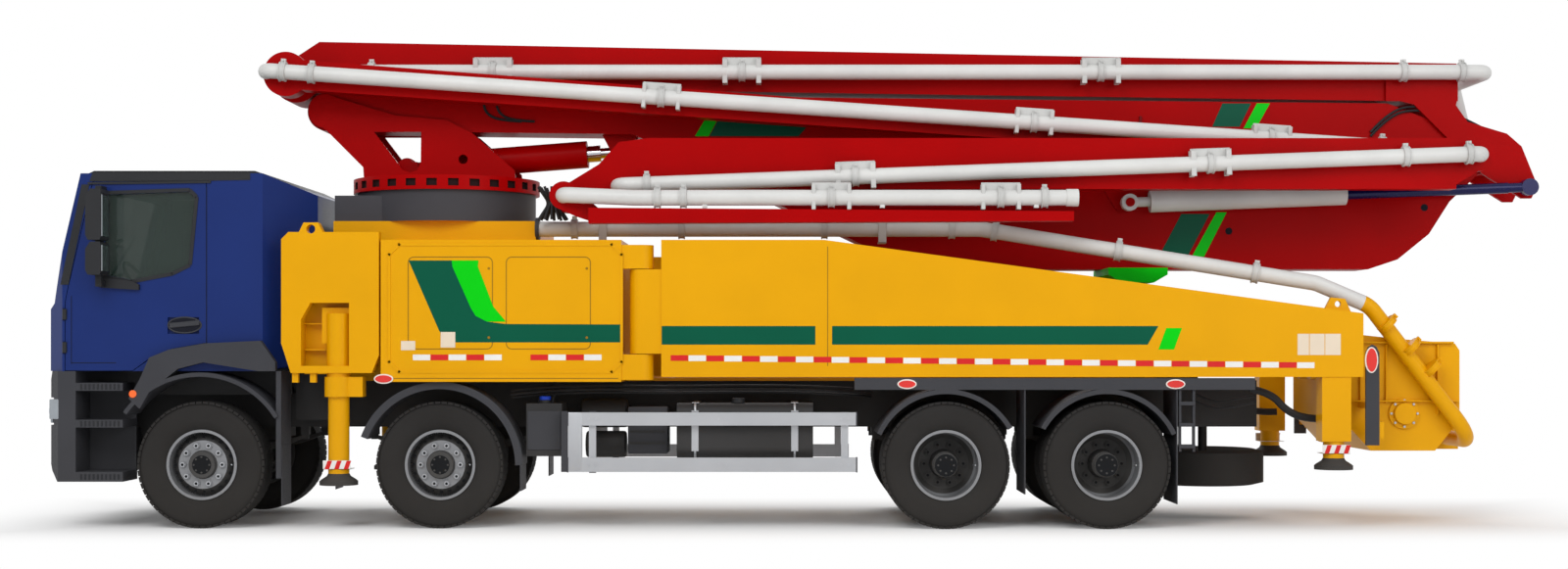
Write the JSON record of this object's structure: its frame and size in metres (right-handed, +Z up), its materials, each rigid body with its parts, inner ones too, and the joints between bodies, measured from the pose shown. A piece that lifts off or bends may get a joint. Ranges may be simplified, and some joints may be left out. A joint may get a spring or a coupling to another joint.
{
  "type": "concrete pump truck",
  "caption": "Truck-mounted concrete pump with a folding placing boom, sliding front legs, swing-out rear legs and a rear hopper.",
  "frame": {"origin": "on the ground under the middle of the truck's overall box", "axes": "+Z up, +X towards the hopper at the rear, -Y towards the driver's side"},
  "size_m": [13.0087, 2.84, 4.2648],
  "materials": {
    "cab_paint": "gloss",
    "yellow_paint": "gloss",
    "red_paint": "gloss",
    "pipe_paint": "gloss",
    "chassis_paint": "satin",
    "rim_paint": "satin",
    "grey_paint": "satin",
    "cast": "rough",
    "tyre": "matt",
    "black_plastic": "matt",
    "glass": "clear",
    "fabric": "woven",
    "rod_steel": "polished",
    "tank_metal": "satin"
  },
  "bodies": {
    "truck": {"chassis_frame": "chassis_paint", "engine_block": "cast", "axles": "cast", "cab_shell": "cab_paint", "cab_trim": "black_plastic", "windscreen": "glass", "cab_interior": "fabric", "pedestal": "yellow_paint", "body_box": "yellow_paint", "deck_pipe": "pipe_paint", "side_gear": "tank_metal", "fenders": "black_plastic", "spare_wheel": "tyre", "hopper": "yellow_paint"},
    "steer_1_left": {"knuckle_1_left": "cast"},
    "wheel_1_left": {"tyre_1_left": "tyre", "rim_1_left": "rim_paint"},
    "steer_1_right": {"knuckle_1_right": "cast"},
    "wheel_1_right": {"tyre_1_right": "tyre", "rim_1_right": "rim_paint"},
    "steer_2_left": {"knuckle_2_left": "cast"},
    "wheel_2_left": {"tyre_2_left": "tyre", "rim_2_left": "rim_paint"},
    "steer_2_right": {"knuckle_2_right": "cast"},
    "wheel_2_right": {"tyre_2_right": "tyre", "rim_2_right": "rim_paint"},
    "wheel_3_left": {"tyre_3_left": "tyre", "rim_3_left": "rim_paint"},
    "wheel_3_right": {"tyre_3_right": "tyre", "rim_3_right": "rim_paint"},
    "wheel_4_left": {"tyre_4_left": "tyre", "rim_4_left": "rim_paint"},
    "wheel_4_right": {"tyre_4_right": "tyre", "rim_4_right": "rim_paint"},
    "door_left": {"door_left": "cab_paint"},
    "front_leg_left": {"front_leg_left": "yellow_paint"},
    "front_jack_left": {"jack_front_left": "grey_paint"},
    "rear_arm_left": {"rear_arm_left": "yellow_paint"},
    "rear_jack_left": {"jack_rear_left": "grey_paint"},
    "door_right": {"door_right": "cab_paint"},
    "front_leg_right": {"front_leg_right": "yellow_paint"},
    "front_jack_right": {"jack_front_right": "grey_paint"},
    "rear_arm_right": {"rear_arm_right": "yellow_paint"},
    "rear_jack_right": {"jack_rear_right": "grey_paint"},
    "turret": {"turret": "red_paint"},
    "hopper_grille": {"hopper_grille": "yellow_paint"},
    "boom_a": {"boom_a": "red_paint", "pipe_a": "pipe_paint"},
    "boom_b": {"boom_b": "red_paint", "pipe_b": "pipe_paint"},
    "boom_c": {"boom_c": "red_paint", "pipe_c": "pipe_paint"},
    "boom_d": {"boom_d": "red_paint", "pipe_d": "pipe_paint"},
    "boom_e": {"boom_e": "red_paint", "pipe_e": "pipe_paint"},
    "luff_barrel": {"luff_barrel": "red_paint"},
    "luff_rod": {"luff_rod": "rod_steel"},
    "fold_barrel": {"fold_barrel": "grey_paint"},
    "fold_rod": {"fold_rod": "rod_steel"}
  },
  "joints": [
    {"name": "steer_1_left", "type": "hinge", "parent": "truck", "child": "steer_1_left", "pos_m": [-5.14, -0.88, 0.535], "axis": [0, 0, 1], "range_deg": [-40, 40]},
    {"name": "wheel_1_left", "type": "hinge", "parent": "steer_1_left", "child": "wheel_1_left", "pos_m": [-5.14, -1.02, 0.535], "axis": [0, 1, 0], "continuous": true},
    {"name": "steer_1_right", "type": "hinge", "parent": "truck", "child": "steer_1_right", "pos_m": [-5.14, 0.88, 0.535], "axis": [0, 0, 1], "range_deg": [-40, 40]},
    {"name": "wheel_1_right", "type": "hinge", "parent": "steer_1_right", "child": "wheel_1_right", "pos_m": [-5.14, 1.02, 0.535], "axis": [0, 1, 0], "continuous": true},
    {"name": "steer_2_left", "type": "hinge", "parent": "truck", "child": "steer_2_left", "pos_m": [-3.13, -0.88, 0.535], "axis": [0, 0, 1], "range_deg": [-28, 28]},
    {"name": "wheel_2_left", "type": "hinge", "parent": "steer_2_left", "child": "wheel_2_left", "pos_m": [-3.13, -1.02, 0.535], "axis": [0, 1, 0], "continuous": true},
    {"name": "steer_2_right", "type": "hinge", "parent": "truck", "child": "steer_2_right", "pos_m": [-3.13, 0.88, 0.535], "axis": [0, 0, 1], "range_deg": [-28, 28]},
    {"name": "wheel_2_right", "type": "hinge", "parent": "steer_2_right", "child": "wheel_2_right", "pos_m": [-3.13, 1.02, 0.535], "axis": [0, 1, 0], "continuous": true},
    {"name": "wheel_3_left", "type": "hinge", "parent": "truck", "child": "wheel_3_left", "pos_m": [1.13, -0.92, 0.535], "axis": [0, 1, 0], "continuous": true},
    {"name": "wheel_3_right", "type": "hinge", "parent": "truck", "child": "wheel_3_right", "pos_m": [1.13, 0.92, 0.535], "axis": [0, 1, 0], "continuous": true},
    {"name": "wheel_4_left", "type": "hinge", "parent": "truck", "child": "wheel_4_left", "pos_m": [2.48, -0.92, 0.535], "axis": [0, 1, 0], "continuous": true},
    {"name": "wheel_4_right", "type": "hinge", "parent": "truck", "child": "wheel_4_right", "pos_m": [2.48, 0.92, 0.535], "axis": [0, 1, 0], "continuous": true},
    {"name": "door_left", "type": "hinge", "parent": "truck", "child": "door_left", "pos_m": [-6.294, -1.15, 2.1], "axis": [0, 0, -1], "range_deg": [0, 70]},
    {"name": "leg_slide_left", "type": "slide", "parent": "truck", "child": "front_leg_left", "axis": [0, -1, 0], "range_m": [0, 1.5]},
    {"name": "front_jack_left", "type": "slide", "parent": "front_leg_left", "child": "front_jack_left", "axis": [0, 0, -1], "range_m": [0, 0.5]},
    {"name": "arm_swing_left", "type": "hinge", "parent": "truck", "child": "rear_arm_left", "pos_m": [-1.429, -1.14, 1.82], "axis": [0, 0, -1], "range_deg": [0, 100]},
    {"name": "rear_jack_left", "type": "slide", "parent": "rear_arm_left", "child": "rear_jack_left", "axis": [0, 0, -1], "range_m": [0, 0.6]},
    {"name": "door_right", "type": "hinge", "parent": "truck", "child": "door_right", "pos_m": [-6.294, 1.15, 2.1], "axis": [0, 0, 1], "range_deg": [0, 70]},
    {"name": "leg_slide_right", "type": "slide", "parent": "truck", "child": "front_leg_right", "axis": [0, 1, 0], "range_m": [0, 1.5]},
    {"name": "front_jack_right", "type": "slide", "parent": "front_leg_right", "child": "front_jack_right", "axis": [0, 0, -1], "range_m": [0, 0.5]},
    {"name": "arm_swing_right", "type": "hinge", "parent": "truck", "child": "rear_arm_right", "pos_m": [-1.429, 1.14, 1.82], "axis": [0, 0, 1], "range_deg": [0, 100]},
    {"name": "rear_jack_right", "type": "slide", "parent": "rear_arm_right", "child": "rear_jack_right", "axis": [0, 0, -1], "range_m": [0, 0.6]},
    {"name": "grille_lid", "type": "hinge", "parent": "truck", "child": "hopper_grille", "pos_m": [5.031, 0, 1.602], "axis": [0, -1, 0], "range_deg": [0, 100]},
    {"name": "slew", "type": "hinge", "parent": "truck", "child": "turret", "pos_m": [-3.258, 0, 2.95], "axis": [0, 0, 1], "range_deg": [0, 180]},
    {"name": "luff", "type": "hinge", "parent": "turret", "child": "boom_a", "pos_m": [-4.33, 0, 3.64], "axis": [0, -1, 0], "range_deg": [0, 85]},
    {"name": "fold_b", "type": "hinge", "parent": "boom_a", "child": "boom_b", "pos_m": [6.196, 0, 3.27], "axis": [0, 1, 0], "range_deg": [0, 180]},
    {"name": "fold_c", "type": "hinge", "parent": "boom_b", "child": "boom_c", "pos_m": [-4.6, 0, 3.925], "axis": [0, -1, 0], "range_deg": [0, 180]},
    {"name": "fold_d", "type": "hinge", "parent": "boom_c", "child": "boom_d", "pos_m": [5.746, 0, 3.182], "axis": [0, 1, 0], "range_deg": [0, 180]},
    {"name": "fold_e", "type": "hinge", "parent": "boom_d", "child": "boom_e", "pos_m": [-2.102, 0, 2.817], "axis": [0, -1, 0], "range_deg": [0, 180]},
    {"name": "luff_cylinder_tilt", "type": "hinge", "parent": "turret", "child": "luff_barrel", "pos_m": [-3.64, 0.15, 3.15], "axis": [0, -1, 0], "range_deg": [0, 87.86]},
    {"name": "luff_cylinder_stroke", "type": "slide", "parent": "luff_barrel", "child": "luff_rod", "axis": [0.997, 0, 0.0771], "range_m": [0, 1.1375]},
    {"name": "fold_cylinder_tilt", "type": "hinge", "parent": "boom_a", "child": "fold_barrel", "pos_m": [2.843, -0.185, 2.817], "axis": [0, -1, 0], "range_deg": [0, 8.99]},
    {"name": "fold_cylinder_stroke", "type": "slide", "parent": "fold_barrel", "child": "fold_rod", "axis": [0.9993, 0, 0.0385], "range_m": [-0.5471, 0]}
  ],
  "couplings": [
    {"joint": "steer_1_right", "follows": "steer_1_left", "ratio": 1},
    {"joint": "steer_2_left", "follows": "steer_1_left", "ratio": 0.7},
    {"joint": "steer_2_right", "follows": "steer_1_left", "ratio": 0.7},
    {"joint": "slew", "follows": "luff", "ratio": 2.1176},
    {"joint": "luff_cylinder_tilt", "follows": "luff", "ratio": 1.0335},
    {"joint": "luff_cylinder_stroke", "follows": "luff", "m_per_rad": 0.76641},
    {"joint": "fold_cylinder_tilt", "follows": "fold_b", "ratio": 0.049868},
    {"joint": "fold_cylinder_stroke", "follows": "fold_b", "m_per_rad": -0.174},
    {"joint": "fold_e", "follows": "fold_d", "ratio": 1}
  ]
}
